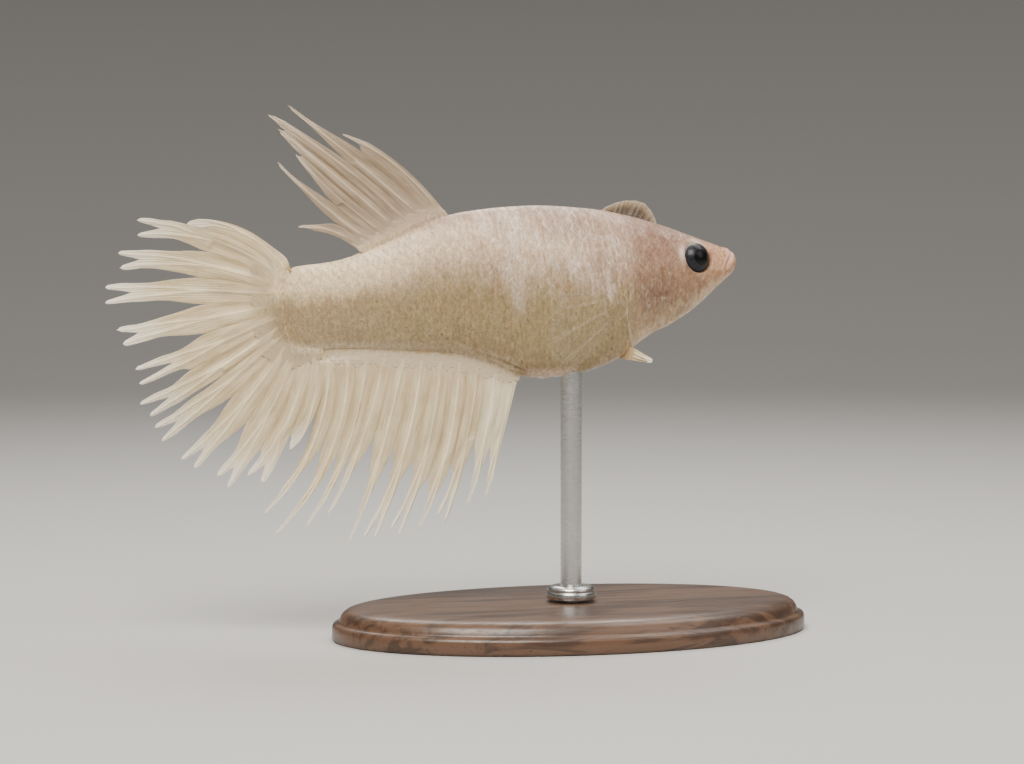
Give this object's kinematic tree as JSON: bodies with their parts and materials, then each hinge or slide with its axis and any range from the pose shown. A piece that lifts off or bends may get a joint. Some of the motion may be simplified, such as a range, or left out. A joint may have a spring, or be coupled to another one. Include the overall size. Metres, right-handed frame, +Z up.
{
  "type": "crowntail betta fish model on a display stand",
  "caption": "Life-size still model of a pale crowntail betta with spread, spiky fins, held over an oval base by a slim rod.",
  "frame": {"origin": "centre of the flat underside of the display stand's oval base, under the rod", "axes": "+X towards the snout, +Y to the fish's left, +Z up"},
  "size_m": [0.0653, 0.03, 0.0495],
  "materials": {
    "skin": "moist pearly skin, pinkish on the head, lilac white above and olive tan below",
    "fins": "thin cream membrane with paler rays, slightly see-through",
    "eyes": "black with a thin silver blue and gold ring, wet gloss",
    "stand_wood": "dark stained hardwood, satin",
    "stand_metal": "brushed steel"
  },
  "bodies": {
    "root": {"head": "skin", "lower_jaw": "skin", "gill_cover_right": "skin", "gill_cover_left": "skin", "trunk": "skin", "tail_stalk": "skin", "eye_right": "eyes", "eye_left": "eyes", "tail_fin": "fins", "anal_fin": "fins", "dorsal_fin": "fins", "pectoral_fin_right": "fins", "pectoral_fin_left": "fins", "pelvic_fin_right": "fins", "pelvic_fin_left": "fins", "stand_base": "stand_wood", "stand_collar": "stand_metal", "stand_rod": "stand_metal"}
  },
  "joints": []
}
